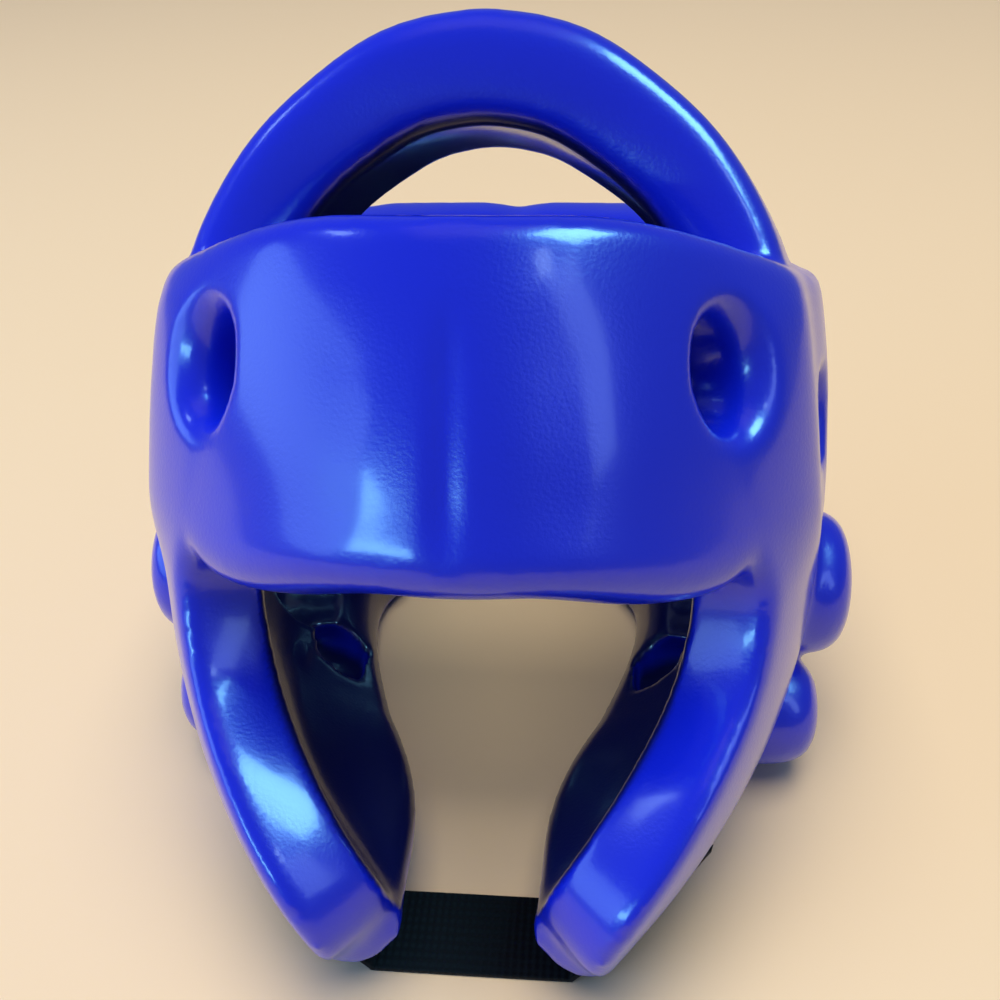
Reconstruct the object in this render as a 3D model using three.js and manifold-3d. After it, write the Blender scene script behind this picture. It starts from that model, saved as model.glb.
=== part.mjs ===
// Taekwondo headgear: one moulded foam shell with a chin strap, standing as it rests on a table.
// Millimetres, +Z up. The shell is drawn in the head's own frame (x across, y to the back,
// z up, origin in the middle of the head at brow height) and leaned back at the end.
import * as THREE from "three";
import { mergeVertices } from "three/addons/utils/BufferGeometryUtils.js";
import Module from "manifold-3d";

// Driving sizes of the shell, head frame
const HALF_WIDTH = 87.5; // middle of the wall, over the ears
const FRONT_REACH = 102; // middle of the wall at the brow, ahead of the ear line
const BACK_REACH = 120; // middle of the wall at the back, behind the ear line
const NAPE_LIFT = 40; // the rim arches up over the nape by about a quarter of this
const EAR_LINE = -5; // y where the head is widest
const BAND_RISE = 77; // top edge of the band above the brow edge
const JAW_FALL = 103; // lower rim under the ear line below the brow edge
const SIDE_WALL = 22; // padded wall at the sides, cheeks and nape
const BROW_WALL = 25; // padded wall of the forehead
const CROWN_RISE = 115.5; // middle of the crown arch above the brow edge
const CROWN_WALL = 29; // foam of the arch at its top
const ARCH_BREADTH = 61; // front to back of the arch at its top

// How the plan departs from an ellipse
const FRONT_NARROWING = 0.2;
const BACK_FULLNESS = 0.1;
const PINCH_END = 127; // turn in degrees behind which the rim isn't drawn in

// Edge roundings, measured along the wall
const BROW_ROUND = 15;
const TOP_ROUND = 8;
const RIM_ROUND = 9;
const ARCH_ROUND = 9;
const EDGE_POWER = 3; // 2 would round every edge to a half circle, more leaves a flatter edge face
const CHEEK_POWER = 6; // the cheeks' front edges are flat faces with small roundings

// Vent holes, ear domes and strap
const VENT_WIDTH = 19;
const VENT_HEIGHT = 27;
const VENT_FLARE = 5.5;
const VENT_SLANT = 8; // degrees the top of a vent leans to the front
const EAR_STAND = 16.5; // how far the upper ear dome stands out from the side
const STRAP_WIDTH = 26;
const STRAP_THICK = 2;
const STRAP_SLACK = 1; // extra air between strap and foam
const BUTTON_DIAMETER = 12;
const BUTTON_RISE = 2.5;
const BUTTON_SLACK = 0.1;
const CLEARANCE = 0.3;

// Relief of the forehead's outer face
const RIDGE_TURN = 60;
const RIDGE_LIFT = 3;
const CREASE_DEPTH = 1.2;
const DENT_TURN = 14;
const DENT_DEPTH = 0.8;

// Middle of the wall at each level from the crown side down to the lower rim.
// z is in BAND_RISE above the brow and in JAW_FALL below it; half, front and back are in
// HALF_WIDTH, FRONT_REACH and BACK_REACH; tilt is rise per mm to the back; pinch draws the
// sides in; edge is the turn in degrees where the cheek's front edge lies.
const LEVELS = [
  { z: 1.0, tilt: 0.0, half: 0.9, front: 0.83, back: 0.89, pinch: 0, edge: 36 },
  { z: 0.75, tilt: 0.0, half: 0.97, front: 0.89, back: 0.95, pinch: 0, edge: 36 },
  { z: 0.4, tilt: 0.0, half: 1.02, front: 0.95, back: 0.99, pinch: 0, edge: 36.5 },
  { z: 0.0, tilt: 0.0, half: 1.04, front: 1.0, back: 1.0, pinch: 0, edge: 41 },
  { z: -0.15, tilt: 0.02, half: 1.03, front: 1.07, back: 1.0, pinch: 0, edge: 48 },
  { z: -0.36, tilt: 0.07, half: 1.01, front: 1.1, back: 0.98, pinch: 0, edge: 46 },
  { z: -0.52, tilt: 0.14, half: 0.965, front: 1.13, back: 0.97, pinch: 0, edge: 36.5 },
  { z: -0.65, tilt: 0.21, half: 0.91, front: 1.1, back: 0.96, pinch: 0.02, edge: 27 },
  { z: -0.76, tilt: 0.27, half: 0.865, front: 1.02, back: 0.95, pinch: 0.1, edge: 22.5 },
  { z: -0.87, tilt: 0.28, half: 0.84, front: 0.98, back: 0.94, pinch: 0.32, edge: 27 },
  { z: -0.97, tilt: 0.26, half: 0.86, front: 1.0, back: 0.93, pinch: 0.67, edge: 33 },
];

const wasm = await Module();
wasm.setup();
const { Manifold, Mesh } = wasm;

const radians = (degrees) => (degrees * Math.PI) / 180;
const mix = (a, b, t) => a + (b - a) * t;
const clamp = (v, lo, hi) => Math.min(hi, Math.max(lo, v));
const smooth = (lo, hi, v) => {
  const t = clamp((v - lo) / (hi - lo), 0, 1);
  return t * t * (3 - 2 * t);
};

// A row between two rows of a table, on a smooth curve through its neighbours
function rowAt(rows, place) {
  const i = clamp(Math.floor(place), 0, rows.length - 2);
  const t = place - i;
  const [a, b, c, d] = [i - 1, i, i + 1, i + 2].map((k) => rows[clamp(k, 0, rows.length - 1)]);
  const row = {};
  for (const key of Object.keys(b)) {
    const m0 = (c[key] - a[key]) / 2;
    const m1 = (d[key] - b[key]) / 2;
    const t2 = t * t;
    const t3 = t2 * t;
    const hold = (2 * t3 - 3 * t2 + 1) * b[key] + (3 * t2 - 2 * t3) * c[key];
    row[key] = hold + (t3 - 2 * t2 + t) * m0 + (t3 - t2) * m1;
  }
  return row;
}

// A point in the middle of the wall: turn in degrees from the front, level by row number
function formPoint(turn, level) {
  const row = rowAt(LEVELS, level);
  const s = Math.sin(radians(turn));
  const c = Math.cos(radians(turn));
  const reach =
    c > 0
      ? row.front * FRONT_REACH * (1 - FRONT_NARROWING * s * s)
      : row.back * BACK_REACH * (1 + BACK_FULLNESS * s * s);
  const drawn = Math.sin(Math.PI * clamp(turn / PINCH_END, 0, 1)) ** 1.2;
  const x = row.half * HALF_WIDTH * s * (1 - row.pinch * drawn);
  const y = EAR_LINE - reach * c;
  const rise = row.z > 0 ? row.z * BAND_RISE : row.z * JAW_FALL;
  const nape = row.tilt * NAPE_LIFT * smooth(125, 170, Math.abs(turn));
  return new THREE.Vector3(x, y, rise + row.tilt * (y - EAR_LINE) + nape);
}

// The level whose height at this turn is z, found by halving
function levelAt(turn, z) {
  let lo = 0;
  let hi = LEVELS.length - 1;
  for (let k = 0; k < 24; k++) {
    const mid = (lo + hi) / 2;
    if (formPoint(turn, mid).z > z) lo = mid;
    else hi = mid;
  }
  return (lo + hi) / 2;
}

// Places along a line of the given length: rounded ends get rows at 0, 30, 60 and 90 degrees.
// near is 1 on the edge and falls to 0 where the wall is full.
function places(length, startRound, endRound, steps) {
  const quarter = [1, 0.866, 0.5];
  const list = quarter.map((near) => ({ at: startRound * (1 - near), near }));
  for (let k = 0; k <= steps; k++) {
    list.push({ at: mix(startRound, length - endRound, k / steps), near: 0 });
  }
  for (const near of [...quarter].reverse()) list.push({ at: length - endRound * (1 - near), near });
  return list;
}

// Share of the full thickness close to an edge: 0 on the edge, where near is 1
const swellAt = (near, power) => Math.max(0, 1 - near ** power) ** (1 / power);

// A padded wall from a grid of { point, swell, out, into }: both faces stand off the middle
// along the grid's normal by out and into, and meet on the rim where swell is 0
function paddedWall(grid) {
  const rows = grid.length;
  const cols = grid[0].length;
  const at = (i, j) => grid[clamp(i, 0, rows - 1)][clamp(j, 0, cols - 1)].point;
  const positions = [];
  const face = { outer: [], inner: [] };
  for (let i = 0; i < rows; i++) {
    face.outer.push([]);
    face.inner.push([]);
    for (let j = 0; j < cols; j++) {
      const cell = grid[i][j];
      const du = at(i + 1, j).clone().sub(at(i - 1, j));
      const dv = at(i, j + 1).clone().sub(at(i, j - 1));
      const normal = du.cross(dv).normalize();
      if (cell.swell < 1e-6) {
        face.outer[i].push(positions.length / 3);
        face.inner[i].push(positions.length / 3);
        positions.push(cell.point.x, cell.point.y, cell.point.z);
        continue;
      }
      for (const [name, reach] of [["outer", cell.out], ["inner", -cell.into]]) {
        const p = cell.point.clone().addScaledVector(normal, reach * cell.swell);
        face[name][i].push(positions.length / 3);
        positions.push(p.x, p.y, p.z);
      }
    }
  }
  const triangles = [];
  const quad = (a, b, c, d) => {
    for (const [p, q, r] of [[a, b, c], [a, c, d]]) {
      if (p !== q && q !== r && r !== p) triangles.push(p, q, r);
    }
  };
  for (let i = 0; i < rows - 1; i++) {
    for (let j = 0; j < cols - 1; j++) {
      const [o, n] = [face.outer, face.inner];
      quad(o[i][j], o[i + 1][j], o[i + 1][j + 1], o[i][j + 1]);
      quad(n[i][j], n[i][j + 1], n[i + 1][j + 1], n[i + 1][j]);
    }
  }
  return solidFrom(positions, triangles);
}

function solidFrom(positions, triangles) {
  const geometry = new THREE.BufferGeometry();
  geometry.setAttribute("position", new THREE.Float32BufferAttribute(positions, 3));
  geometry.setIndex(triangles);
  const merged = mergeVertices(geometry, 1e-4);
  return new Manifold(
    new Mesh({
      numProp: 3,
      vertProperties: new Float32Array(merged.attributes.position.array),
      triVerts: new Uint32Array(merged.index.array),
    }),
  );
}

// A closed body from rings of points, capped at both ends
function ringBody(rings) {
  const n = rings[0].length;
  const positions = rings.flat().flatMap((p) => [p.x, p.y, p.z]);
  const triangles = [];
  for (let i = 0; i < rings.length - 1; i++) {
    for (let j = 0; j < n; j++) {
      const [a, b] = [i * n + j, i * n + ((j + 1) % n)];
      triangles.push(a, b, b + n, a, b + n, a + n);
    }
  }
  const last = (rings.length - 1) * n;
  for (let j = 1; j < n - 1; j++) {
    triangles.push(0, j + 1, j, last, last + j, last + j + 1);
  }
  const solid = solidFrom(positions, triangles);
  if (solid.volume() > 0) return solid;
  const flipped = [];
  for (let k = 0; k < triangles.length; k += 3) {
    flipped.push(triangles[k], triangles[k + 2], triangles[k + 1]);
  }
  return solidFrom(positions, flipped);
}

// Wall thickness by turn: thicker foam over the forehead
const wallAt = (turn) => mix(BROW_WALL, SIDE_WALL, smooth(35, 75, Math.abs(turn)));

// Height of the outer face over the plain wall: a ridge at the temples, a crease down the
// middle of the forehead and a shallow dent beside it
function reliefAt(turn, z) {
  const t = Math.abs(turn);
  const bell = (centre, width) => Math.exp(-(((t - centre) / width) ** 2));
  const rise = z / BAND_RISE;
  const ridgeSpan = smooth(-0.31, 0.05, rise) * (1 - smooth(0.62, 0.94, rise));
  const ridge = RIDGE_LIFT * bell(RIDGE_TURN, 6) * ridgeSpan;
  const crease = CREASE_DEPTH * bell(0, 2.5) * smooth(0, 0.26, rise) * (1 - smooth(0.58, 0.86, rise));
  const dent = DENT_DEPTH * bell(DENT_TURN, 5) * smooth(0.03, 0.29, rise) * (1 - smooth(0.52, 0.86, rise));
  return ridge - crease - dent;
}

// Forehead pad, from temple to temple
const FOREHEAD_END = 57;
const FOREHEAD_FULL = 43;
const browEdge = (turn) => {
  const t = Math.abs(turn);
  return BAND_RISE * (-0.078 - 0.091 * smooth(8, 38, t) + 0.208 * smooth(40, 57, t));
};
const bandTop = (turn) => {
  const t = Math.abs(turn);
  const side = BAND_RISE * (1 - 0.208 * smooth(15, 75, t));
  const back = BAND_RISE * (1 - 0.026 * Math.exp(-(((t - 180) / 5) ** 2)));
  return mix(side, back, smooth(95, 150, t));
};
function foreheadPad() {
  const turns = [];
  for (const near of [1, 0.866, 0.5]) turns.push({ turn: mix(FOREHEAD_FULL, FOREHEAD_END, near), near });
  for (let k = 9; k >= 0; k--) turns.push({ turn: (FOREHEAD_FULL * k) / 9, near: 0 });
  const all = [...turns.map((t) => ({ ...t, turn: -t.turn })), ...turns.slice(0, -1).reverse()];
  const grid = all.map(({ turn, near }) => {
    const low = levelAt(turn, browEdge(turn));
    const high = levelAt(turn, bandTop(turn));
    const curve = (v) => formPoint(turn, mix(low, high, v));
    const sideSwell = swellAt(near, EDGE_POWER);
    return lineOfCells(curve, BROW_ROUND, TOP_ROUND, 5, sideSwell, wallAt(turn), turn);
  });
  return paddedWall(grid);
}

// Cells along one line of the wall, spaced by length along it
function lineOfCells(curve, startRound, endRound, steps, sideSwell, wall, turn = null) {
  const samples = 48;
  const points = Array.from({ length: samples + 1 }, (_, k) => curve(k / samples));
  const run = [0];
  for (let k = 1; k <= samples; k++) run.push(run[k - 1] + points[k].distanceTo(points[k - 1]));
  return places(run[samples], startRound, endRound, steps).map(({ at, near }) => {
    let k = 1;
    while (k < samples && run[k] < at) k++;
    const t = clamp((at - run[k - 1]) / (run[k] - run[k - 1]), 0, 1);
    const point = points[k - 1].clone().lerp(points[k], t);
    const out = wall / 2 + (turn === null ? 0 : reliefAt(turn, point.z));
    return { point, swell: swellAt(near, EDGE_POWER) * sideSwell, out, into: wall / 2 };
  });
}

// The wrap: cheeks, sides and back in one wall from the lower rim to the top edge
const EDGE_TURN = 6.6;
function wrapWall() {
  const last = LEVELS.length - 1;
  const columns = [];
  for (const near of [1, 0.866, 0.5, 0]) columns.push({ share: 0, add: EDGE_TURN * (1 - near), near });
  const steps = 20;
  for (let k = 1; k <= steps; k++) {
    columns.push({ share: k / steps, add: EDGE_TURN * (1 - k / steps), near: 0 });
  }
  const cellsOf = ({ share, add, near }, side) => {
    const turnAt = (level) => mix(rowAt(LEVELS, level).edge, 180, share) + add;
    let high = 0;
    for (let k = 0; k < 60; k++) {
      const level = 0.02 * k;
      if (formPoint(turnAt(level), level).z > bandTop(turnAt(level))) high = level;
    }
    const curve = (v) => {
      const level = mix(last, high, v);
      const p = formPoint(turnAt(level), level);
      return new THREE.Vector3(side * p.x, p.y, p.z);
    };
    const sideSwell = swellAt(near, CHEEK_POWER);
    return lineOfCells(curve, RIM_ROUND, TOP_ROUND, 13, sideSwell, wallAt(turnAt(3)), turnAt(3));
  };
  const right = columns.map((c) => cellsOf(c, 1));
  const left = columns.slice(0, -1).reverse().map((c) => cellsOf(c, -1));
  return paddedWall([...right, ...left]);
}

// Crown arch: middle of the foam from the crown down to a foot buried in the band.
// x and z are in HALF_WIDTH and CROWN_RISE, wall in CROWN_WALL; front and back are y in
// ARCH_BREADTH, and drop is how far the back edge falls, in ARCH_BREADTH too.
const ARCH = [
  { x: 0.0, z: 1.0, drop: 0.098, front: -0.639, back: 0.361, wall: 1.0 },
  { x: 0.23, z: 0.972, drop: 0.098, front: -0.639, back: 0.361, wall: 1.0 },
  { x: 0.42, z: 0.892, drop: 0.098, front: -0.639, back: 0.361, wall: 0.97 },
  { x: 0.605, z: 0.785, drop: 0.082, front: -0.656, back: 0.377, wall: 0.95 },
  { x: 0.75, z: 0.65, drop: 0.066, front: -0.689, back: 0.410, wall: 0.93 },
  { x: 0.868, z: 0.5, drop: 0.033, front: -0.754, back: 0.475, wall: 0.86 },
  { x: 0.97, z: 0.34, drop: 0.000, front: -0.820, back: 0.541, wall: 0.56 },
];
// Width of the plan at y, as a share of its widest
const planShare = (y) => {
  const ahead = clamp((EAR_LINE - y) / FRONT_REACH, 0, 1);
  const behind = clamp((y - EAR_LINE) / BACK_REACH, 0, 1);
  return Math.sqrt(1 - ahead ** 2 - behind ** 2) - FRONT_NARROWING * ahead ** 2;
};
function crownArch() {
  const steps = 15;
  const cellsOf = (k, side) => {
    const row = rowAt(ARCH, ((ARCH.length - 1) * k) / steps);
    const curve = (v) => {
      const y = ARCH_BREADTH * mix(row.back, row.front, v);
      const x = row.x * HALF_WIDTH * planShare(y) ** row.x;
      return new THREE.Vector3(side * x, y, row.z * CROWN_RISE - ARCH_BREADTH * row.drop * (1 - v) ** 2);
    };
    const footSwell = k === steps ? 0 : 1;
    return lineOfCells(curve, ARCH_ROUND, ARCH_ROUND, 3, footSwell, row.wall * CROWN_WALL);
  };
  const grid = [];
  for (let k = steps; k > 0; k--) grid.push(cellsOf(k, -1));
  for (let k = 0; k <= steps; k++) grid.push(cellsOf(k, 1));
  return paddedWall(grid);
}

// Normal of the wall's middle, pointing out of the head
function formNormal(turn, level) {
  const around = formPoint(turn + 0.5, level).sub(formPoint(turn - 0.5, level));
  const down = formPoint(turn, level + 0.02).sub(formPoint(turn, level - 0.02));
  return down.cross(around).normalize();
}

// Vent holes: place on the wall, with z in BAND_RISE, and how their section widens through the
// foam. depth is from the inner face at -1 to the outer face at 1, grow is in VENT_FLARE.
const VENTS = [
  { turn: 38.5, z: 0.526, size: 1.0 },
  { turn: 73, z: 0.282, size: 0.85 },
];
const VENT_SECTIONS = [
  { depth: -1.6, grow: 0.6 },
  { depth: -1.0, grow: 0.3 },
  { depth: -0.7, grow: 0.0 },
  { depth: 0.3, grow: 0.0 },
  { depth: 0.7, grow: 0.22 },
  { depth: 0.92, grow: 0.6 },
  { depth: 1.04, grow: 1.0 },
  { depth: 1.7, grow: 2.4 },
];
const RING_POINTS = 20;
function ventHole({ turn, z, size }, side) {
  const level = levelAt(turn, z * BAND_RISE);
  const centre = formPoint(turn, level);
  const normal = formNormal(turn, level);
  const up = new THREE.Vector3(0, 0, 1).addScaledVector(normal, -normal.z).normalize();
  up.applyAxisAngle(normal, radians(VENT_SLANT));
  const across = up.clone().cross(normal);
  const half = wallAt(turn) / 2;
  const rings = VENT_SECTIONS.map(({ depth, grow }) =>
    Array.from({ length: RING_POINTS }, (_, k) => {
      const a = (2 * Math.PI * k) / RING_POINTS;
      const p = centre
        .clone()
        .addScaledVector(normal, depth * half)
        .addScaledVector(across, Math.cos(a) * ((size * VENT_WIDTH) / 2 + grow * VENT_FLARE))
        .addScaledVector(up, Math.sin(a) * ((size * VENT_HEIGHT) / 2 + grow * VENT_FLARE));
      return new THREE.Vector3(side * p.x, p.y, p.z);
    }),
  );
  return ringBody(rings);
}

// Ear dome: two round lobes moulded straight out to the side, the lower one smaller.
// z and tall are in JAW_FALL, the other lengths in HALF_WIDTH, and stand is in EAR_STAND;
// root is the x of the buried end.
const EAR_LOBES = [
  { y: 0.057, z: -0.388, across: 0.263, tall: 0.233, root: 0.92, stand: 1.0 },
  { y: -0.046, z: -0.796, across: 0.194, tall: 0.184, root: 0.72, stand: 0.5 },
];
// Ear recess inside the same wall, a pocket of two lobes; top is the x of its floor
const EAR_POCKETS = [
  { y: 0.229, z: -0.447, across: 0.217, tall: 0.204, root: 0.55, top: 0.97 },
  { y: 0.149, z: -0.757, across: 0.137, tall: 0.117, root: 0.55, top: 0.82 },
];
const LOBE_SECTIONS = [
  { rise: 0.0, spread: 0.8 },
  { rise: 0.35, spread: 1.0 },
  { rise: 0.62, spread: 1.0 },
  { rise: 0.8, spread: 0.95 },
  { rise: 0.93, spread: 0.78 },
  { rise: 1.0, spread: 0.45 },
];
function lobeBody(lobe, side, top) {
  const rings = LOBE_SECTIONS.map(({ rise, spread }) =>
    Array.from({ length: RING_POINTS }, (_, k) => {
      const a = (2 * Math.PI * k) / RING_POINTS;
      const x = mix(lobe.root * HALF_WIDTH, top, rise);
      const y = HALF_WIDTH * (lobe.y + Math.cos(a) * lobe.across * spread);
      const z = JAW_FALL * (lobe.z + Math.sin(a) * lobe.tall * spread);
      return new THREE.Vector3(side * x, y, z);
    }),
  );
  return ringBody(rings);
}
const earDome = (lobe, side) => lobeBody(lobe, side, HALF_WIDTH + SIDE_WALL / 2 + lobe.stand * EAR_STAND);
const earPocket = (lobe, side) => lobeBody(lobe, side, HALF_WIDTH * lobe.top);

let shell = crownArch().add(wrapWall()).add(foreheadPad());
for (const side of [-1, 1]) {
  for (const lobe of EAR_LOBES) shell = shell.add(earDome(lobe, side));
  for (const lobe of EAR_POCKETS) shell = shell.subtract(earPocket(lobe, side));
  for (const vent of VENTS) shell = shell.subtract(ventHole(vent, side));
}

// The shell stands on its jaw tips, with the strap under them, and on its lower back rim.
// The lean that sets both down is found by halving.
const shellMesh = shell.getMesh();
const corners = [];
for (let k = 0; k < shellMesh.vertProperties.length; k += 3) {
  corners.push(new THREE.Vector3(...shellMesh.vertProperties.slice(k, k + 3)));
}
const jawCorners = corners.filter((p) => p.y < EAR_LINE - FRONT_REACH / 8);
const backCorners = corners.filter((p) => p.y > EAR_LINE + BACK_REACH / 4);
const lowest = (points, lean) => {
  return Math.min(...points.map((p) => p.z * Math.cos(lean) - p.y * Math.sin(lean)));
};
const UNDER_JAW = STRAP_THICK + CLEARANCE;
let [leanLow, leanHigh] = [0, Math.PI / 4];
for (let k = 0; k < 40; k++) {
  const lean = (leanLow + leanHigh) / 2;
  if (lowest(jawCorners, lean) - lowest(backCorners, lean) > UNDER_JAW) leanHigh = lean;
  else leanLow = lean;
}
const lean = (leanLow + leanHigh) / 2;
const toRest = new THREE.Matrix4().makeRotationX(-lean);
const rested = corners.map((p) => p.clone().applyMatrix4(toRest));
const restBox = new THREE.Box3().setFromPoints(rested);
toRest.premultiply(
  new THREE.Matrix4().makeTranslation(0, -(restBox.min.y + restBox.max.y) / 2, -lowest(backCorners, lean)),
);

// Chin strap: flat on the table from one jaw tip to the other, then up the outside of each
// cheek under the jaw. x is in HALF_WIDTH, y behind the jaw tip in STRAP_WIDTH.
const STRAP_PATH = [
  { x: 0.0, y: 0.615 },
  { x: 0.2, y: 0.615 },
  { x: 0.36, y: 0.615 },
  { x: 0.46, y: 0.692 },
  { x: 0.52, y: 0.808 },
  { x: 0.58, y: 0.962 },
  { x: 0.64, y: 1.154 },
  { x: 0.7, y: 1.346 },
  { x: 0.76, y: 1.538 },
];
const BUTTON_ROW = 7;

// Lowest face of the shell over a place on the table, as a point and a normal facing down
const restedFaces = [];
for (let k = 0; k < shellMesh.triVerts.length; k += 3) {
  const face = [0, 1, 2].map((j) => corners[shellMesh.triVerts[k + j]].clone().applyMatrix4(toRest));
  restedFaces.push(new THREE.Triangle(...face));
}
function underside(x, y) {
  let best = null;
  for (const face of restedFaces) {
    const [a, b, c] = [face.a, face.b, face.c];
    if (x < Math.min(a.x, b.x, c.x) || x > Math.max(a.x, b.x, c.x)) continue;
    const d = (b.y - c.y) * (a.x - c.x) + (c.x - b.x) * (a.y - c.y);
    if (Math.abs(d) < 1e-9) continue;
    const p = ((b.y - c.y) * (x - c.x) + (c.x - b.x) * (y - c.y)) / d;
    const q = ((c.y - a.y) * (x - c.x) + (a.x - c.x) * (y - c.y)) / d;
    if (p < 0 || q < 0 || p + q > 1) continue;
    const z = p * a.z + q * b.z + (1 - p - q) * c.z;
    if (best === null || z < best.z) best = new THREE.Vector3(x, y, z);
  }
  return best;
}

const jawTip = formPoint(LEVELS[LEVELS.length - 1].edge, LEVELS.length - 1).applyMatrix4(toRest);
const onTable = STRAP_THICK / 2;
function strapPoint(row, across, side) {
  const x = row.x * HALF_WIDTH;
  const y = jawTip.y + row.y * STRAP_WIDTH + across;
  const flat = new THREE.Vector3(side * x, y, onTable);
  if (x < 1.5 * jawTip.x) return flat;
  const step = 0.75 * STRAP_THICK;
  const [here, out, back] = [underside(x, y), underside(x + step, y), underside(x, y + step)];
  if (!here || !out || !back || out.z <= here.z) return flat;
  const normal = new THREE.Vector3((out.z - here.z) / step, (back.z - here.z) / step, -1).normalize();
  here.addScaledVector(normal, CLEARANCE + STRAP_SLACK + STRAP_THICK / 2);
  return new THREE.Vector3(side * here.x, here.y, Math.max(here.z, onTable));
}
function strapCells(row, side, endSwell) {
  const half = STRAP_WIDTH / 2;
  const acrossList = places(STRAP_WIDTH, STRAP_THICK / 2, STRAP_THICK / 2, 4);
  return acrossList.map(({ at, near }) => ({
    point: strapPoint(row, at - half, side),
    swell: swellAt(near, EDGE_POWER) * endSwell,
    out: STRAP_THICK / 2,
    into: STRAP_THICK / 2,
  }));
}
const strapEnd = STRAP_PATH.length - 1;
const strapHalf = (side) => STRAP_PATH.map((row, k) => strapCells(row, side, k === strapEnd ? 0 : 1));
const strap = paddedWall([...strapHalf(-1).reverse().slice(0, -1), ...strapHalf(1)]);

// Round button that holds each end of the strap to the foam, outside the strap
function strapButton(side) {
  const row = STRAP_PATH[BUTTON_ROW];
  const centre = strapPoint(row, 0, side);
  const along = strapPoint(STRAP_PATH[BUTTON_ROW + 1], 0, side).sub(centre);
  const back = strapPoint(row, STRAP_WIDTH / 4, side).sub(centre);
  const normal = along.cross(back).normalize();
  if (normal.z > 0) normal.negate();
  const start = STRAP_THICK / 2 + CLEARANCE + BUTTON_SLACK;
  const across = back.normalize();
  const other = normal.clone().cross(across);
  const sections = [
    { rise: 0, radius: 1 },
    { rise: 0.6, radius: 1 },
    { rise: 1, radius: 0.75 },
  ];
  const rings = sections.map(({ rise, radius }) =>
    Array.from({ length: RING_POINTS }, (_, k) => {
      const a = (2 * Math.PI * k) / RING_POINTS;
      return centre
        .clone()
        .addScaledVector(normal, start + rise * BUTTON_RISE)
        .addScaledVector(across, (Math.cos(a) * radius * BUTTON_DIAMETER) / 2)
        .addScaledVector(other, (Math.sin(a) * radius * BUTTON_DIAMETER) / 2);
    }),
  );
  return ringBody(rings);
}

function meshNode(name, solid, material, place) {
  const mesh = solid.getMesh();
  const geometry = new THREE.BufferGeometry();
  const positions = new Float32Array(mesh.vertProperties);
  geometry.setAttribute("position", new THREE.Float32BufferAttribute(positions, 3));
  geometry.setIndex(new THREE.Uint32BufferAttribute(new Uint32Array(mesh.triVerts), 1));
  if (place) geometry.applyMatrix4(place);
  geometry.computeVertexNormals();
  const node = new THREE.Mesh(geometry, material);
  node.name = name;
  return node;
}

const group = new THREE.Group();
group.name = "taekwondo_headgear";
const foam = () => new THREE.MeshStandardMaterial({ color: 0x1a33b8, roughness: 0.25 });
const webbing = () => new THREE.MeshStandardMaterial({ color: 0x0a0c12, roughness: 0.9 });
const plastic = () => new THREE.MeshStandardMaterial({ color: 0x101216, roughness: 0.4 });
group.add(meshNode("head_shell", shell, foam(), toRest));
group.add(meshNode("chin_strap", strap, webbing()));
group.add(meshNode("strap_button_right", strapButton(1), plastic()));
group.add(meshNode("strap_button_left", strapButton(-1), plastic()));
export default group;
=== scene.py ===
# A taekwondo headgear of dipped foam, leaned back on its jaw tips and back rim on a pale table.
# Its shapes are laid out in millimetres in the head's own frame (x across, y to the back,
# z up, origin in the middle of the head at brow height) and then leaned back as it rests.
import math

import bmesh
import bpy
import numpy as np
from mathutils import Matrix, Vector
from mathutils.bvhtree import BVHTree


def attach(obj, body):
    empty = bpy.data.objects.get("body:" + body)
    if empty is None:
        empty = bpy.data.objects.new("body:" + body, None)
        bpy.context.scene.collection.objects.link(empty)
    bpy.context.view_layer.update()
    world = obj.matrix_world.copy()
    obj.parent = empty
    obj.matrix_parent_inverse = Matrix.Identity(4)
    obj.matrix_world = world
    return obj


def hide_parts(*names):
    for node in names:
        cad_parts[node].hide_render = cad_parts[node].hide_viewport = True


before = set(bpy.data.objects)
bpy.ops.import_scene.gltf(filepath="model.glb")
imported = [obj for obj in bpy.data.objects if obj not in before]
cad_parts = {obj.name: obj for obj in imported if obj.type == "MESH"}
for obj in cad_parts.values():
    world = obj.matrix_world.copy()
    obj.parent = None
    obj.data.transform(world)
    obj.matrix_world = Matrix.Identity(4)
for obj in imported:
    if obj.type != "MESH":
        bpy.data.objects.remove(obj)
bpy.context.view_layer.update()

# How the head's frame lies in the world: lean in degrees, then a shift in millimetres
LEAN = 20.477
REST_SHIFT = (0.0, 1.030, 99.597)
metres = Matrix.Scale(0.001, 4)
to_rest = metres @ Matrix.Translation(REST_SHIFT) @ Matrix.Rotation(math.radians(-LEAN), 4, "X")

# The camera stands low in front of the face and looks down on the leaned-back brow.
# Its place and turns are given in the head's frame, as the picture was taken.
CAMERA_PLACE = (31.03, -337.28, 84.33)
CAMERA_TURN = 4.958
CAMERA_DOWN = 16.125
CAMERA_LENS = 38.93
camera = bpy.data.objects.new("camera", bpy.data.cameras.new("camera"))
bpy.context.scene.collection.objects.link(camera)
camera.data.lens = CAMERA_LENS
camera.data.clip_start = 0.01
turned = Matrix.Rotation(math.radians(-LEAN), 4, "X")
turned = turned @ Matrix.Rotation(math.radians(CAMERA_TURN), 4, "Z")
looking = turned @ Matrix.Rotation(math.radians(90 - CAMERA_DOWN), 4, "X")
camera.matrix_world = Matrix.Translation(to_rest @ Vector(CAMERA_PLACE)) @ looking
bpy.context.scene.camera = camera
bpy.context.scene.view_settings.view_transform = "Standard"


def linear(code):
    """The linear colour of a hex code, with alpha."""
    parts = [int(code[k : k + 2], 16) / 255 for k in (0, 2, 4)]
    return [c / 12.92 if c < 0.04045 else ((c + 0.055) / 1.055) ** 2.4 for c in parts] + [1.0]


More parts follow.
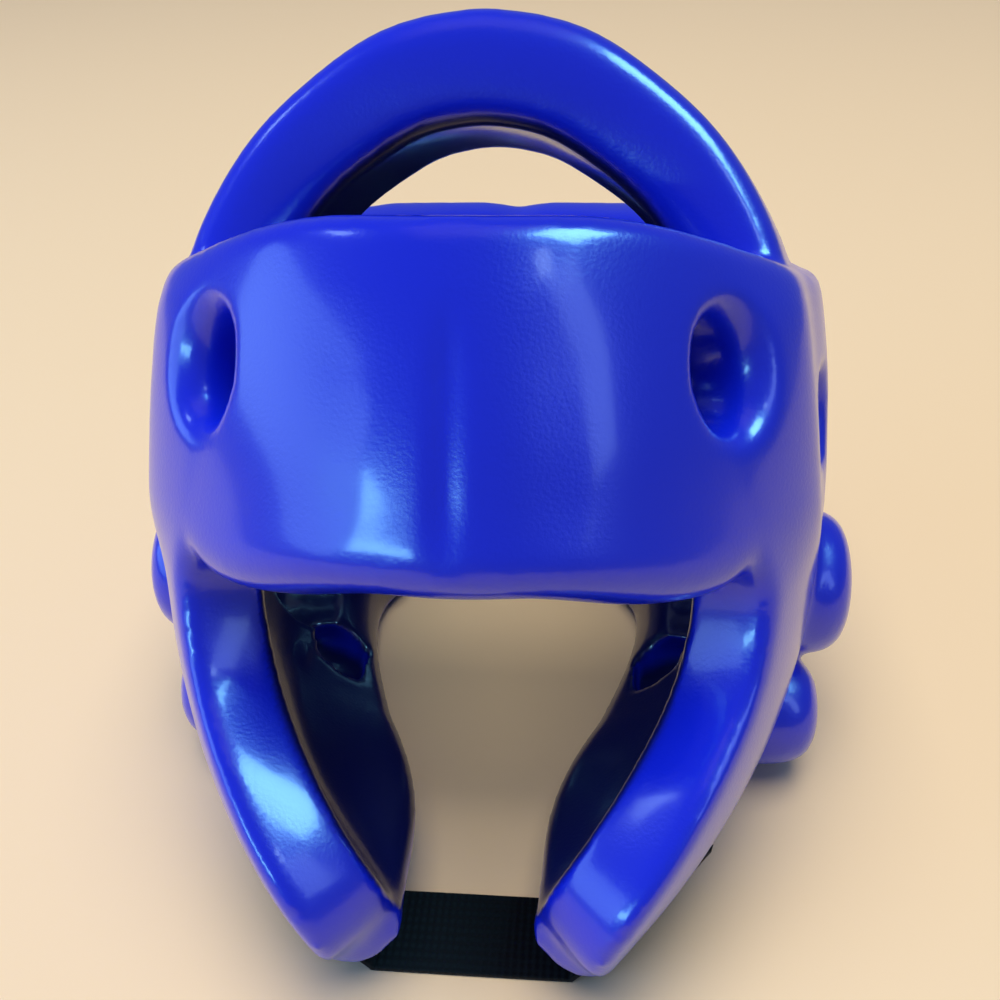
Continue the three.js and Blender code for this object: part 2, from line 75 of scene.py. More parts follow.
def add_node(tree, kind, links=(), **values):
    """A shader node with its properties, input values and incoming links set."""
    node = tree.nodes.new(kind)
    for key, value in values.items():
        if hasattr(node, key):
            setattr(node, key, value)
        else:
            node.inputs[key.replace("_", " ")].default_value = value
    for name, source in links:
        tree.links.new(source, node.inputs[name])
    return node


def new_material(name):
    """A new node material, its tree and its surface shader."""
    made = bpy.data.materials.new(name)
    made.use_nodes = True
    return made, made.node_tree, made.node_tree.nodes["Principled BSDF"]


# Floor: a plain pale table top, matt, without its grain; past its edges the room is dim
TABLE_WIDTH = 2.0
TABLE_DEPTH = 2.4
TABLE_MIDDLE = 0.3
bpy.ops.mesh.primitive_plane_add(size=1, location=(0, TABLE_MIDDLE, 0))
floor = bpy.context.object
floor.scale = (TABLE_WIDTH, TABLE_DEPTH, 1)
floor.name = "floor"
table_top, tree, shader = new_material("pale table top")
shader.inputs["Base Color"].default_value = linear("EFDEBB")
shader.inputs["Roughness"].default_value = 0.55
shader.inputs["Specular IOR Level"].default_value = 0.3
floor.data.materials.append(table_top)

# Light: a dim soft room, lit from a wide ceiling and by a cool wall on the left. The other
# lamps are what the gloss reflects, as tall windows and bright patches of sky, and light
# nothing else; the ceiling isn't reflected. All are aimed at the headgear.
ROOM_STRENGTH = 0.3
AIM = Vector((0, -0.05, 0.12))
CEILING = "ceiling"
LEFT_WALL = "wall left"
# Rows are name, degrees round from the front to the right, degrees up, metres away,
# width and height in metres, watts and tint
LIGHTS = [
    ("window right", 80, 58, 1.2, 0.54, 0.4, 16.5, "8CDCFF"),
    ("sky right", 50, 30, 1.3, 0.26, 0.7, 2.2, "9FC4FF"),
    (LEFT_WALL, -74, 14, 1.4, 1.25, 0.62, 8.5, "8FC0FF"),
    ("lamp left", -88, 47, 1.4, 0.25, 0.16, 1.2, "B4DCFF"),
    ("patch front", -34, 13, 1.4, 0.66, 0.13, 5.4, "90E0FF"),
    ("patch right", 43, 48, 1.3, 0.13, 0.13, 0.5, "B4DCFF"),
    (CEILING, 0, 88, 3.0, 2.2, 2.2, 102.0, "FFEED8"),
]
world = bpy.data.worlds.new("room")
world.use_nodes = True
world.node_tree.nodes["Background"].inputs["Color"].default_value = linear("B9CCF6")
world.node_tree.nodes["Background"].inputs["Strength"].default_value = ROOM_STRENGTH
bpy.context.scene.world = world
for name, around, up, far, wide, tall, power, tint in LIGHTS:
    lamp = bpy.data.lights.new(name, "AREA")
    lamp.shape = "RECTANGLE"
    lamp.size = wide
    lamp.size_y = tall
    lamp.energy = power
    lamp.color = linear(tint)[:3]
    holder = bpy.data.objects.new(name, lamp)
    bpy.context.scene.collection.objects.link(holder)
    swing = Matrix.Rotation(math.radians(around), 3, "Z")
    ahead = swing @ Matrix.Rotation(math.radians(-up), 3, "X") @ Vector((0, -1, 0))
    holder.location = AIM + ahead * far
    holder.rotation_euler = (-ahead).to_track_quat("-Z", "Y").to_euler()
    holder.visible_glossy = name != CEILING
    holder.visible_diffuse = name in (CEILING, LEFT_WALL)

# Shell: one piece of moulded closed-cell foam, dipped in glossy blue vinyl inside and out.
# A wrap wall makes the cheeks, sides and back, a thicker pad the forehead, an arch the crown;
# the ear domes, ear recesses and flared vents are moulded with it.
# Lengths and heights are in millimetres; turns, from the front, and the slant are in degrees.
HALF_WIDTH = 87.5
FRONT_REACH = 102
BACK_REACH = 120
NAPE_LIFT = 40
EAR_LINE = -5
BAND_RISE = 77
JAW_FALL = 103
SIDE_WALL = 22
BROW_WALL = 25
CROWN_RISE = 115.5
CROWN_WALL = 29
FRONT_NARROWING = 0.2
BACK_FULLNESS = 0.1
PINCH_END = 127
PINCH_POWER = 1.2
NAPE_TURNS = (125, 170)
BROW_ROUND = 15
TOP_ROUND = 8
RIM_ROUND = 9
ARCH_ROUND = 9
EDGE_POWER = 3
CHEEK_POWER = 6
VENT_WIDTH = 19
VENT_HEIGHT = 27
VENT_FLARE = 5.5
VENT_SLANT = 8
EAR_STAND = 16.5
RIDGE_TURN = 60
RIDGE_LIFT = 4
RIDGE_AHEAD = 15
RIDGE_BEHIND = 6
# Rows are z, tilt, half width, front, back, pinch and the turn of the front edge in degrees
LEVELS = np.array(
    [
        (1.0, 0.0, 0.9, 0.83, 0.89, 0, 36),
        (0.75, 0.0, 0.97, 0.89, 0.95, 0, 36),
        (0.4, 0.0, 1.02, 0.95, 0.99, 0, 36.5),
        (0.0, 0.0, 1.04, 1.0, 1.0, 0, 41),
        (-0.15, 0.02, 1.03, 1.07, 1.0, 0, 48),
        (-0.36, 0.07, 1.01, 1.1, 0.98, 0, 46),
        (-0.52, 0.14, 0.965, 1.13, 0.97, 0, 36.5),
        (-0.65, 0.21, 0.91, 1.1, 0.96, 0.02, 27),
        (-0.76, 0.27, 0.865, 1.02, 0.95, 0.1, 22.5),
        (-0.87, 0.28, 0.84, 0.98, 0.94, 0.32, 27),
        (-0.97, 0.26, 0.86, 1.0, 0.93, 0.67, 33),
    ]
)


def mix(a, b, t):
    return a + (b - a) * t


def clamp(v, lo, hi):
    return min(hi, max(lo, v))


def smooth(lo, hi, v):
    """0 up to lo, 1 from hi on, and a smooth rise between them."""
    t = np.clip((v - lo) / (hi - lo), 0, 1)
    return t * t * (3 - 2 * t)


def row_at(rows, place):
    """A row between two rows of a table, on a smooth curve through its neighbours."""
    last = len(rows) - 1
    i = int(clamp(math.floor(place), 0, last - 1))
    t = place - i
    a, b, c, d = (rows[int(clamp(k, 0, last))] for k in (i - 1, i, i + 1, i + 2))
    m0, m1 = (c - a) / 2, (d - b) / 2
    t2, t3 = t * t, t * t * t
    start, end = (2 * t3 - 3 * t2 + 1) * b, (3 * t2 - 2 * t3) * c
    return start + (t3 - 2 * t2 + t) * m0 + end + (t3 - t2) * m1


def form_point(turn, level):
    """A point in the middle of the wall: turn in degrees from the front, level by row."""
    z, tilt, half, front, back, pinch, _ = row_at(LEVELS, level)
    s, c = math.sin(math.radians(turn)), math.cos(math.radians(turn))
    if c > 0:
        reach = front * FRONT_REACH * (1 - FRONT_NARROWING * s * s)
    else:
        reach = back * BACK_REACH * (1 + BACK_FULLNESS * s * s)
    drawn = max(0.0, math.sin(math.pi * clamp(turn / PINCH_END, 0, 1))) ** PINCH_POWER
    x = half * HALF_WIDTH * s * (1 - pinch * drawn)
    y = EAR_LINE - reach * c
    rise = z * (BAND_RISE if z > 0 else JAW_FALL)
    nape = tilt * NAPE_LIFT * smooth(*NAPE_TURNS, abs(turn))
    return np.array((x, y, rise + tilt * (y - EAR_LINE) + nape))


HALVINGS = 24


def level_at(turn, z):
    """The level that has the height z at a turn, found by halving."""
    lo, hi = 0.0, len(LEVELS) - 1.0
    for _ in range(HALVINGS):
        mid = (lo + hi) / 2
        if form_point(turn, mid)[2] > z:
            lo = mid
        else:
            hi = mid
    return (lo + hi) / 2


# A quarter circle in steps of 15 degrees, for rounded ends; curves are measured at CURVE_STEPS
QUARTER = [math.cos(math.radians(15 * k)) for k in range(6)]
CURVE_STEPS = 60


def places(length, start_round, end_round, steps):
    """Places along a line, with close rows on its rounded ends; near falls from 1 to 0 there."""
    made = [(start_round * (1 - near), near) for near in QUARTER]
    made += [(mix(start_round, length - end_round, k / steps), 0.0) for k in range(steps + 1)]
    return made + [(length - end_round * (1 - near), near) for near in reversed(QUARTER)]


def swell_at(near, power):
    """Share of the full thickness close to an edge: 0 on the edge, where near is 1."""
    return max(0.0, 1 - near**power) ** (1 / power)


def line_of_cells(curve, start_round, end_round, steps, side_swell, wall, turn=None):
    """Cells (point, swell, out, into) along one line of a wall, spaced by length."""
    points = np.array([curve(k / CURVE_STEPS) for k in range(CURVE_STEPS + 1)])
    run = np.concatenate([[0], np.cumsum(np.linalg.norm(np.diff(points, axis=0), axis=1))])
    cells = []
    for at, near in places(run[-1], start_round, end_round, steps):
        point = np.array([np.interp(at, run, points[:, k]) for k in range(3)])
        out = wall / 2 + (0 if turn is None else ridge_at(turn, point[2]))
        cells.append((point, swell_at(near, EDGE_POWER) * side_swell, out, wall / 2))
    return cells


def mesh_of(name, verts, faces, placed):
    """A closed mesh with its faces pointing out."""
    data = bpy.data.meshes.new(name)
    data.from_pydata([tuple(v) for v in verts], [], faces)
    work = bmesh.new()
    work.from_mesh(data)
    bmesh.ops.remove_doubles(work, verts=work.verts, dist=1e-4)
    bmesh.ops.recalc_face_normals(work, faces=work.faces)
    work.to_mesh(data)
    work.free()
    data.transform(placed)
    made = bpy.data.objects.new(name, data)
    bpy.context.scene.collection.objects.link(made)
    return made


def padded_wall(name, grid, placed=to_rest):
    """A wall from a grid of cells: its faces stand off the middle and meet on the rim."""
    points = np.array([[cell[0] for cell in line] for line in grid])
    padded = np.pad(points, ((1, 1), (1, 1), (0, 0)), mode="edge")
    du = padded[2:, 1:-1] - padded[:-2, 1:-1]
    dv = padded[1:-1, 2:] - padded[1:-1, :-2]
    normal = np.cross(du, dv)
    normal /= np.linalg.norm(normal, axis=2, keepdims=True) + 1e-12
    verts, outer, inner, swollen = [], {}, {}, {}
    for i, line in enumerate(grid):
        for j, (point, swell, out, into) in enumerate(line):
            swollen[i, j] = swell > 1e-3
            outer[i, j] = inner[i, j] = len(verts)
            if swollen[i, j]:
                inner[i, j] += 1
                verts.append(point + normal[i, j] * out * swell)
                verts.append(point - normal[i, j] * into * swell)
            else:
                verts.append(point)
    faces = []
    for i in range(len(grid) - 1):
        for j in range(len(grid[0]) - 1):
            corners = [(i, j), (i + 1, j), (i + 1, j + 1), (i, j + 1)]
            if any(swollen[c] for c in corners):
                faces.append([outer[c] for c in corners])
                faces.append([inner[c] for c in reversed(corners)])
    return mesh_of(name, verts, faces, placed)


def ring_body(name, rings, placed=to_rest):
    """A closed body from rings of points, with flat ends."""
    n = len(rings[0])
    faces = [list(range(n)), [len(rings) * n - 1 - k for k in range(n)]]
    for i in range(len(rings) - 1):
        for j in range(n):
            a, b = i * n + j, i * n + (j + 1) % n
            faces.append([a, b, b + n, a + n])
    return mesh_of(name, [p for ring in rings for p in ring], faces, placed)


WALL_TURNS = (35, 75)
RIDGE_FOOT = (-24, 4)
RIDGE_HEAD = (48, 72)


def wall_at(turn):
    """Wall thickness: the thick brow goes over into the sides."""
    return mix(BROW_WALL, SIDE_WALL, smooth(*WALL_TURNS, abs(turn)))


def ridge_at(turn, z):
    """The ridge at the temples, where the forehead's face turns into the side."""
    off = abs(turn) - RIDGE_TURN
    bell = math.exp(-((off / (RIDGE_AHEAD if off < 0 else RIDGE_BEHIND)) ** 2))
    return RIDGE_LIFT * bell * smooth(*RIDGE_FOOT, z) * (1 - smooth(*RIDGE_HEAD, z))


BROW_EDGE = -6
BROW_DIP = 7
DIP_TURNS = (8, 38)
TEMPLE_RISE = 16
TEMPLE_TURNS = (40, 57)


def brow_edge(turn):
    """Height of the forehead pad's lower edge, which dips and then rises to the temples."""
    dip = BROW_DIP * smooth(*DIP_TURNS, abs(turn))
    return BROW_EDGE - dip + TEMPLE_RISE * smooth(*TEMPLE_TURNS, abs(turn))


SIDE_DROP = 16
DROP_TURNS = (15, 75)
NOTCH_DEPTH = 2
NOTCH_HALF = 5
BACK_TURNS = (95, 150)


def band_top(turn):
    """Height of the band's top: lower at the sides, with a slight notch at the back's middle."""
    side = BAND_RISE - SIDE_DROP * smooth(*DROP_TURNS, abs(turn))
    back = BAND_RISE - NOTCH_DEPTH * math.exp(-(((abs(turn) - 180) / NOTCH_HALF) ** 2))
    return mix(side, back, smooth(*BACK_TURNS, abs(turn)))


# The forehead pad has its full thickness up to FOREHEAD_FULL and thins out to nothing at
# FOREHEAD_END
FOREHEAD_END = 57
FOREHEAD_FULL = 43
FOREHEAD_LINES = 18
FOREHEAD_STEPS = 12
turns = [(mix(FOREHEAD_FULL, FOREHEAD_END, near), near) for near in QUARTER]
turns += [(FOREHEAD_FULL * k / FOREHEAD_LINES, 0.0) for k in range(FOREHEAD_LINES, -1, -1)]
turns = [(-turn, near) for turn, near in turns] + list(reversed(turns[:-1]))
grid = []
for turn, near in turns:
    low, high = level_at(turn, brow_edge(turn)), level_at(turn, band_top(turn))
    line = lambda v: form_point(turn, mix(low, high, v))
    swell = swell_at(near, EDGE_POWER)
    cells = line_of_cells(
        line, BROW_ROUND, TOP_ROUND, FOREHEAD_STEPS, swell, wall_at(turn), turn
    )
    grid.append(cells)
forehead = padded_wall("forehead pad", grid)

# The wrap wall: its columns go from the front edge of a cheek to the middle of the back.
# That edge is rounded over EDGE_TURN, and each column's top is looked for in small steps.
EDGE_TURN = 6.6
COLUMNS = 56
COLUMN_STEPS = 36
TOP_STEP = 0.02
TOP_TRIES = 60
columns = [(0.0, EDGE_TURN * (1 - near), near) for near in QUARTER]
columns += [(k / COLUMNS, EDGE_TURN * (1 - k / COLUMNS), 0.0) for k in range(COLUMNS + 1)]
right_half = []
for share, add, near in columns:
    turn_at = lambda level: mix(row_at(LEVELS, level)[6], 180, share) + add
    top = 0.0
    for k in range(TOP_TRIES):
        level = TOP_STEP * k
        if form_point(turn_at(level), level)[2] > band_top(turn_at(level)):
            top = level
    curve = lambda v: form_point(
        turn_at(mix(len(LEVELS) - 1, top, v)), mix(len(LEVELS) - 1, top, v)
    )
    around = turn_at(3)
    swell = swell_at(near, CHEEK_POWER)
    cells = line_of_cells(
        curve, RIM_ROUND, TOP_ROUND, COLUMN_STEPS, swell, wall_at(around), around
    )
    right_half.append(cells)
flip = np.array((-1, 1, 1))
left_half = [[(p * flip, *rest) for p, *rest in line] for line in reversed(right_half[:-1])]
shell = padded_wall("padded_shell", right_half + left_half)

# Crown arch, from its top to a foot: rows are x, z, drop of its back edge, y of its front
# and back edges, and share of its wall
ARCH = np.array(
    [
        (0.0, 1.0, 6, -39, 22, 1.0),
        (0.23, 0.972, 6, -39, 22, 1.0),
        (0.42, 0.892, 6, -39, 22, 0.97),
        (0.605, 0.785, 5, -40, 23, 0.95),
        (0.75, 0.65, 4, -42, 25, 0.93),
        (0.868, 0.5, 2, -46, 29, 0.86),
        (0.97, 0.34, 0, -50, 33, 0.56),
    ]
)
ARCH_STEPS = 40
ARCH_SMOOTHINGS = 8
ARCH_CELLS = 8


def plan_share(y):
    """Width of the plan at y, as a share of its widest."""
    ahead = clamp((EAR_LINE - y) / FRONT_REACH, 0, 1)
    behind = clamp((y - EAR_LINE) / BACK_REACH, 0, 1)
    return math.sqrt(1 - ahead**2 - behind**2) - FRONT_NARROWING * ahead**2


arch_places = [(len(ARCH) - 1) * k / ARCH_STEPS for k in range(ARCH_STEPS + 1)]
arch_rows = np.array([row_at(ARCH, place) for place in arch_places])
for _ in range(ARCH_SMOOTHINGS):
    spread = np.concatenate([arch_rows[1:2] * (-1, 1, 1, 1, 1, 1), arch_rows])
    arch_rows[:-1] = (spread[:-2] + 2 * spread[1:-1] + spread[2:]) / 4
right_half = []
for k in range(ARCH_STEPS + 1):
    x, z, drop, front, back, wall = arch_rows[k]

    def curve(v):
        y = mix(back, front, v)
        across = x * HALF_WIDTH * plan_share(y) ** x
        return np.array((across, y, z * CROWN_RISE - drop * (1 - v) ** 2))

    swell = 0.0 if k == ARCH_STEPS else 1.0
    cells = line_of_cells(curve, ARCH_ROUND, ARCH_ROUND, ARCH_CELLS, swell, wall * CROWN_WALL)
    right_half.append(cells)
left_half = [[(p * flip, *rest) for p, *rest in line] for line in reversed(right_half[1:])]
arch = padded_wall("crown arch", left_half + right_half)

RING_POINTS = 48
angles = np.radians(np.arange(RING_POINTS) * 360 / RING_POINTS)


def sections(rows, steps):
    """Sections along a body, on a smooth curve through the rows of a table."""
    return [row_at(rows, (len(rows) - 1) * k / steps) for k in range(steps + 1)]


# Ear domes stand straight out to the side; the recesses inside are two smaller lobes of the
# same form.
# Rows of LOBES are a share of the way out and the share of its width that a lobe has there;
# those below it are y, z, half width, half height, and where the lobe starts and ends in x.
LOBES = np.array([(0, 0.8), (0.35, 1), (0.62, 1), (0.8, 0.95), (0.93, 0.78), (1, 0.45)])
LOBE_STEPS = 16
EAR_DOMES = [
    (5, -40, 23, 24, HALF_WIDTH * 0.92, HALF_WIDTH + SIDE_WALL / 2 + EAR_STAND),
    (-4, -82, 17, 19, HALF_WIDTH * 0.72, HALF_WIDTH + SIDE_WALL / 2 + EAR_STAND / 2),
]
EAR_RECESSES = [
    (20, -46, 19, 21, HALF_WIDTH * 0.55, HALF_WIDTH * 0.97),
    (13, -78, 12, 12, HALF_WIDTH * 0.55, HALF_WIDTH * 0.82),
]


def lobe_body(name, lobe, side):
    """An ear dome or the cutter of a recess, drawn out along x on one side."""
    y, z, across, tall, root, top = lobe
    rings = []
    for rise, spread in sections(LOBES, LOBE_STEPS):
        x = np.full(RING_POINTS, side * mix(root, top, rise))
        ring_y = y + np.cos(angles) * across * spread
        ring_z = z + np.sin(angles) * tall * spread
        rings.append(np.stack([x, ring_y, ring_z], axis=1))
    return ring_body(name, rings)


# Vents: ovals cut square through the wall that flare to its faces. Rows of VENTS are turn, z
# and size; rows of VENT_ROWS are depth as a share of half the wall, and share of the flare.
VENTS = [(38.5, 40.5, 1.0), (73, 21.7, 0.85)]
VENT_ROWS = np.array(
    [(-1.6, 0.6), (-1, 0.3), (-0.7, 0), (0.3, 0), (0.7, 0.22), (0.92, 0.6), (1.04, 1), (1.7, 2.4)]
)
VENT_STEPS = 28


def vent_body(name, vent, side):
    """The cutter of a vent, square to the wall at its place, on one side."""
    turn, z, size = vent
    level = level_at(turn, z)
    centre = form_point(turn, level)
    around = form_point(turn + 0.5, level) - form_point(turn - 0.5, level)
    down = form_point(turn, level + 0.02) - form_point(turn, level - 0.02)
    normal = Vector(np.cross(down, around)).normalized()
    up = (Vector((0, 0, 1)) - normal * normal.z).normalized()
    up = Matrix.Rotation(math.radians(VENT_SLANT), 3, normal) @ up
    across = up.cross(normal)
    rings = []
    for depth, grow in sections(VENT_ROWS, VENT_STEPS):
        wide = size * VENT_WIDTH / 2 + grow * VENT_FLARE
        tall = size * VENT_HEIGHT / 2 + grow * VENT_FLARE
        ring = centre + np.array(normal) * depth * wall_at(turn) / 2
        ring = ring + np.outer(np.cos(angles) * wide, across) + np.outer(np.sin(angles) * tall, up)
        rings.append(ring * np.array((side, 1, 1)))
    return ring_body(name, rings)


def cut_or_join(target, tool, operation):
    """Join the tool to the target or cut it out, apply that and delete the tool."""
    step = target.modifiers.new(operation, "BOOLEAN")
    step.operation = operation
    step.solver = "MANIFOLD"
    step.object = tool
    bpy.context.view_layer.objects.active = target
    bpy.ops.object.modifier_apply(modifier=step.name)
    bpy.data.objects.remove(tool)


cut_or_join(shell, arch, "UNION")
cut_or_join(shell, forehead, "UNION")
for side in (-1, 1):
    for lobe in EAR_DOMES:
        cut_or_join(shell, lobe_body("dome", lobe, side), "UNION")
    for lobe in EAR_RECESSES:
        cut_or_join(shell, lobe_body("recess", lobe, side), "DIFFERENCE")
    for vent in VENTS:
        cut_or_join(shell, vent_body("vent", vent, side), "DIFFERENCE")

# The moulded blends: the joined walls are remeshed, at a voxel size in metres, and relaxed
VOXEL = 0.0016
RELAXINGS = 14
step = shell.modifiers.new("remesh", "REMESH")
step.mode = "VOXEL"
step.voxel_size = VOXEL
step = shell.modifiers.new("relax", "SMOOTH")
step.factor = 0.5
step.iterations = RELAXINGS
for name in ("remesh", "relax"):
    bpy.context.view_layer.objects.active = shell
    bpy.ops.object.modifier_apply(modifier=name)

# The forehead's crease down the middle and the soft dents beside it, in millimetres.
# They fade out toward its edges and act only on the outer face of the front.
CREASE_DEPTH = 1.1
CREASE_HALF = 3.2
DENT_DEPTH = 0.6
DENT_PLACE = 24
DENT_HALF = 9
FOREHEAD_FROM = -70
FADE_LOW = (0, 20)
FADE_HIGH = (45, 66)
FADE_FACING = (0.3, 0.7)
from_rest = np.array(to_rest.inverted())
count = len(shell.data.vertices)
co = np.empty(count * 3)
shell.data.vertices.foreach_get("co", co)
co = co.reshape(-1, 3)
normals = np.empty(count * 3)
shell.data.vertex_normals.foreach_get("vector", normals)
normals = normals.reshape(-1, 3)
head = co @ from_rest[:3, :3].T + from_rest[:3, 3]
facing = normals @ from_rest[:3, :3].T * 0.001
crease = CREASE_DEPTH * np.exp(-((head[:, 0] / CREASE_HALF) ** 2))
dents = DENT_DEPTH * np.exp(-(((np.abs(head[:, 0]) - DENT_PLACE) / DENT_HALF) ** 2))
fade = smooth(*FADE_LOW, head[:, 2]) * (1 - smooth(*FADE_HIGH, head[:, 2]))
fade *= smooth(*FADE_FACING, -facing[:, 1]) * (head[:, 1] < FOREHEAD_FROM)
sunk = (crease + dents) * fade * 0.001
co -= normals * sunk[:, None]
shell.data.vertices.foreach_set("co", co.ravel())
shell.data.update()
for poly in shell.data.polygons:
    poly.use_smooth = True

# Painted shade: the inside, which the light hardly reaches, is painted a darker blue, though it is
# the same vinyl as outside. It comes in over INSIDE_FACING, which is how far a face looks back to
# the middle of the head.
INSIDE_FACING = (0.15, 0.5)
outward = head / np.linalg.norm(head, axis=1, keepdims=True)
looks_in = -np.sum(facing * outward, axis=1) / np.linalg.norm(facing, axis=1)
painted_shade = smooth(*INSIDE_FACING, looks_in)
inside = shell.data.attributes.new("inside", "FLOAT", "POINT")
inside.data.foreach_set("value", painted_shade.astype(np.float32))

# Foam dipped in liquid vinyl: a glossy skin, with an orange peel of bumps a millimetre wide
# that makes the edges of its highlights grainy, over soft waves that bend them. A noise
# texture's scale is 1000 over the size of its bumps in millimetres.
PEEL_SIZE = 1.0
WAVE_SIZE = 22.222
WAVE_SHARE = 2.0
SKIN_RELIEF = 0.00015
VINYL_BLUE = "0A22DC"
# The darker blue is painted shade for the inside of the shell
INSIDE_SHADE_BLUE = "0A1258"
vinyl, tree, shader = new_material("dipped vinyl foam")
place = add_node(tree, "ShaderNodeTexCoord").outputs["Object"]
peel = add_node(
    tree, "ShaderNodeTexNoise", [("Vector", place)], Scale=1000 / PEEL_SIZE, Detail=2.0
)
waves = add_node(
    tree, "ShaderNodeTexNoise", [("Vector", place)], Scale=1000 / WAVE_SIZE, Detail=1.0
)
heights = add_node(tree, "ShaderNodeMath", [(0, waves.outputs["Fac"])], operation="MULTIPLY")
heights.inputs[1].default_value = WAVE_SHARE
heights = add_node(
    tree, "ShaderNodeMath", [(0, heights.outputs[0]), (1, peel.outputs["Fac"])], operation="ADD"
)
bump = add_node(
    tree, "ShaderNodeBump", [("Height", heights.outputs[0])], Strength=0.4, Distance=SKIN_RELIEF
)
tree.links.new(bump.outputs["Normal"], shader.inputs["Normal"])
# Painted shade: faces that look into the head are mixed toward the darker blue
depth = add_node(tree, "ShaderNodeAttribute", attribute_name="inside")
# The mix node's colours are its inputs 6 and 7, and the mixed one is its output 2
shade_mix = add_node(tree, "ShaderNodeMix", [(0, depth.outputs["Fac"])], data_type="RGBA")
shade_mix.inputs[6].default_value = linear(VINYL_BLUE)
shade_mix.inputs[7].default_value = linear(INSIDE_SHADE_BLUE)
tree.links.new(shade_mix.outputs[2], shader.inputs["Base Color"])
shader.inputs["Roughness"].default_value = 0.28
shader.inputs["Specular IOR Level"].default_value = 0.45
shader.inputs["Coat Weight"].default_value = 0.6
shader.inputs["Coat Roughness"].default_value = 0.12
shell.data.materials.clear()
shell.data.materials.append(vinyl)
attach(shell, "root")
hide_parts("head_shell")

# Chin strap: one length of black elastic webbing, 26 mm wide. It lies flat on the table
# between the jaw tips and runs up under each jaw to a fastener on the outside of the cheek.
STRAP_WIDTH = 26
STRAP_THICK = 2
STRAP_END = 68.4
STRAP_GAP = 1.5
STRAP_AHEAD = -105.32
# Where the strap's middle swings back on its way out, x against y
SWING_X = (0, 31.5, 40.25, 45.5, 50.75, 56, 61.25, 68.4)
SWING_Y = (0, 0, 2, 5, 9, 14, 19, 25.5)
# Past FLAT_END rays from below find the shell, and the strap keeps STRAP_GAP under it
surface = BVHTree.FromPolygons(
    [tuple(v) for v in co * 1000], [tuple(p.vertices) for p in shell.data.polygons]
)
FLAT_END = 30
STRAP_COLUMNS = 58
STRAP_CELLS = 12
STRAP_SMOOTHINGS = 12
cross = places(STRAP_WIDTH, STRAP_THICK / 2, STRAP_THICK / 2, STRAP_CELLS)
strap_x = np.linspace(0, STRAP_END, STRAP_COLUMNS)
forward = STRAP_AHEAD + np.interp(strap_x, SWING_X, SWING_Y)
height = np.full((len(strap_x), len(cross)), STRAP_THICK / 2)
for i, x in enumerate(strap_x):
    for j, (at, _) in enumerate(cross):
        start = Vector((x, forward[i] + at - STRAP_WIDTH / 2, -50))
        found = surface.ray_cast(start, Vector((0, 0, 1)))[0]
        if x > FLAT_END and found is not None:
            height[i, j] = max(STRAP_THICK / 2, found.z - STRAP_GAP - STRAP_THICK / 2)
        elif x > FLAT_END and j:
            height[i, j] = height[i, j - 1]
limit = height.copy()
for _ in range(STRAP_SMOOTHINGS):
    spread = np.pad(height, 1, mode="edge")
    height = (spread[2:, 1:-1] + spread[:-2, 1:-1] + spread[1:-1, 2:] + spread[1:-1, :-2]) / 4
    height = np.minimum(height, limit)
half_strap = []
for i, x in enumerate(strap_x):
    end = 0.0 if i == len(strap_x) - 1 else 1.0
    line = []
    for j, (at, near) in enumerate(cross):
        point = np.array((x, forward[i] + at - STRAP_WIDTH / 2, height[i, j]))
        swell = swell_at(near, EDGE_POWER) * end
        line.append((point, swell, STRAP_THICK / 2, STRAP_THICK / 2))
    half_strap.append(line)
other_half = [[(p * flip, *rest) for p, *rest in line] for line in reversed(half_strap[1:])]
strap = padded_wall("webbing_strap", other_half + half_strap, metres)
for poly in strap.data.polygons:
    poly.use_smooth = True

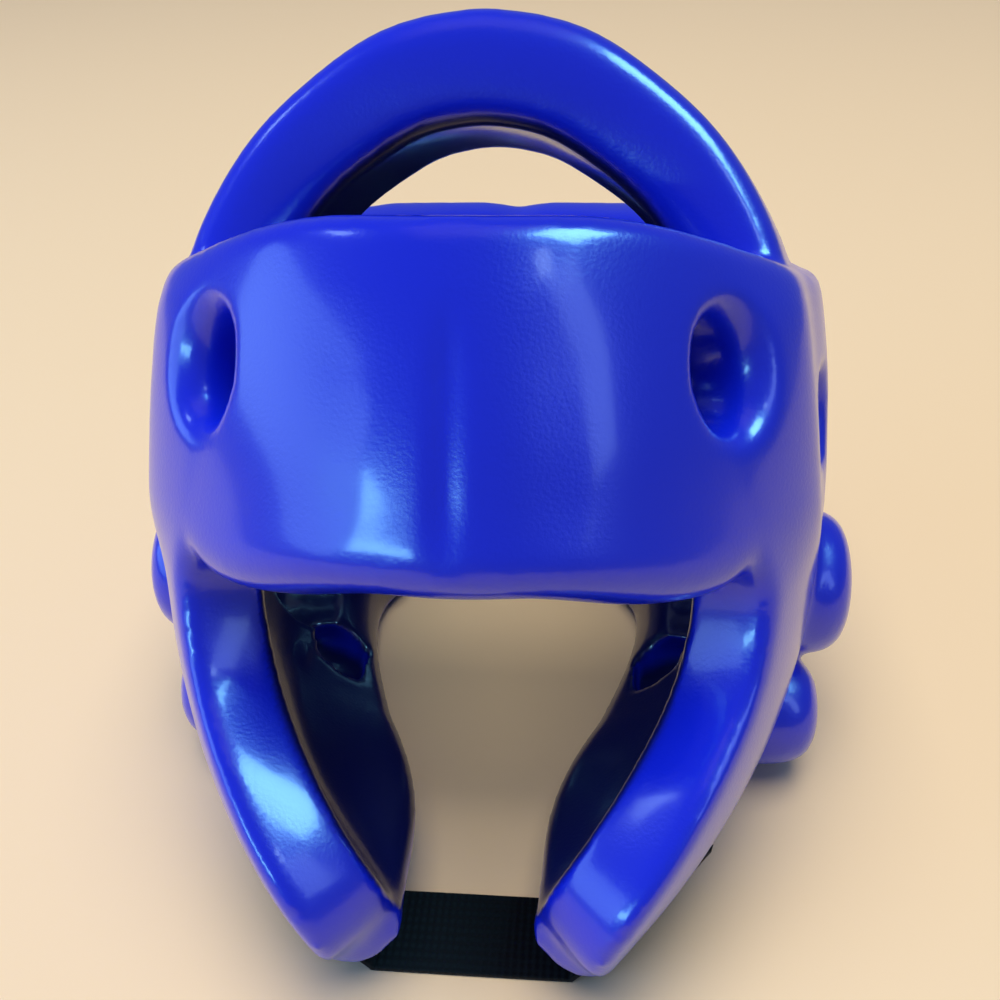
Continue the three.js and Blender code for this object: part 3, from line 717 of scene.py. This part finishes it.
# Woven elastic, dull and nearly black: ribs across it and cords along it, 2 to 3 mm apart,
# which is coarser than real threads, so that they show at all. A wave texture's scale is
# WAVE_TURN over its spacing in millimetres.
WAVE_TURN = 1000 * 2 * math.pi / 20
RIB_SPACING = 2.16661
CORD_SPACING = 2.85599
WEAVE_RELIEF = 0.0004
webbing, tree, shader = new_material("black elastic webbing")
place = add_node(tree, "ShaderNodeTexCoord").outputs["Object"]
ribs = add_node(
    tree, "ShaderNodeTexWave", [("Vector", place)], Scale=WAVE_TURN / RIB_SPACING, Distortion=0.4
)
ribs.bands_direction = "X"
cords = add_node(
    tree, "ShaderNodeTexWave", [("Vector", place)], Scale=WAVE_TURN / CORD_SPACING, Distortion=0.3
)
cords.bands_direction = "Y"
weave = add_node(
    tree, "ShaderNodeMath", [(0, ribs.outputs["Fac"]), (1, cords.outputs["Fac"])], operation="ADD"
)
bump = add_node(
    tree, "ShaderNodeBump", [("Height", weave.outputs[0])], Strength=0.8, Distance=WEAVE_RELIEF
)
tree.links.new(bump.outputs["Normal"], shader.inputs["Normal"])
shader.inputs["Base Color"].default_value = linear("06080D")
shader.inputs["Roughness"].default_value = 0.85
shader.inputs["Specular IOR Level"].default_value = 0.2
shader.inputs["Sheen Weight"].default_value = 0.05
strap.data.materials.append(webbing)
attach(strap, "root")
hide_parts("chin_strap")

# Strap buttons: plain moulded plastic discs, 12 mm wide, that press each strap end to the foam.
# They sit just clear of the strap, at BUTTON_PLACE from the middle.
BUTTON_RADIUS = 6
BUTTON_RISE = 2.5
BUTTON_GAP = 0.4
BUTTON_PLACE = 61.25
# Moulded plastic, black and half matt
plastic, tree, shader = new_material("black moulded plastic")
shader.inputs["Base Color"].default_value = linear("101217")
shader.inputs["Roughness"].default_value = 0.42
i, j = int(np.argmin(abs(strap_x - BUTTON_PLACE))), len(cross) // 2
centre, along, back = (half_strap[a][b][0] for a, b in ((i, j), (i + 1, j), (i, j + 2)))
normal = Vector(np.cross(along - centre, back - centre)).normalized()
normal = -normal if normal.z > 0 else normal
across = Vector(back - centre).normalized()
other = normal.cross(across)
# Rows are rise and share of the radius
DISC_ROWS = [(0, 0.94), (0.12, 1), (0.6, 1), (0.8, 0.96), (0.95, 0.85), (1, 0.7)]
for side, name in ((1, "right"), (-1, "left")):
    rings = []
    for rise, share in DISC_ROWS:
        lift = STRAP_THICK / 2 + BUTTON_GAP + rise * BUTTON_RISE
        ring = centre + np.array(normal) * lift
        ring = ring + np.outer(np.cos(angles) * share * BUTTON_RADIUS, across)
        ring = ring + np.outer(np.sin(angles) * share * BUTTON_RADIUS, other)
        rings.append(ring * np.array((side, 1, 1)))
    button = ring_body("button_" + name, rings, metres)
    button.data.materials.append(plastic)
    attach(button, "root")
    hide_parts("strap_button_" + name)
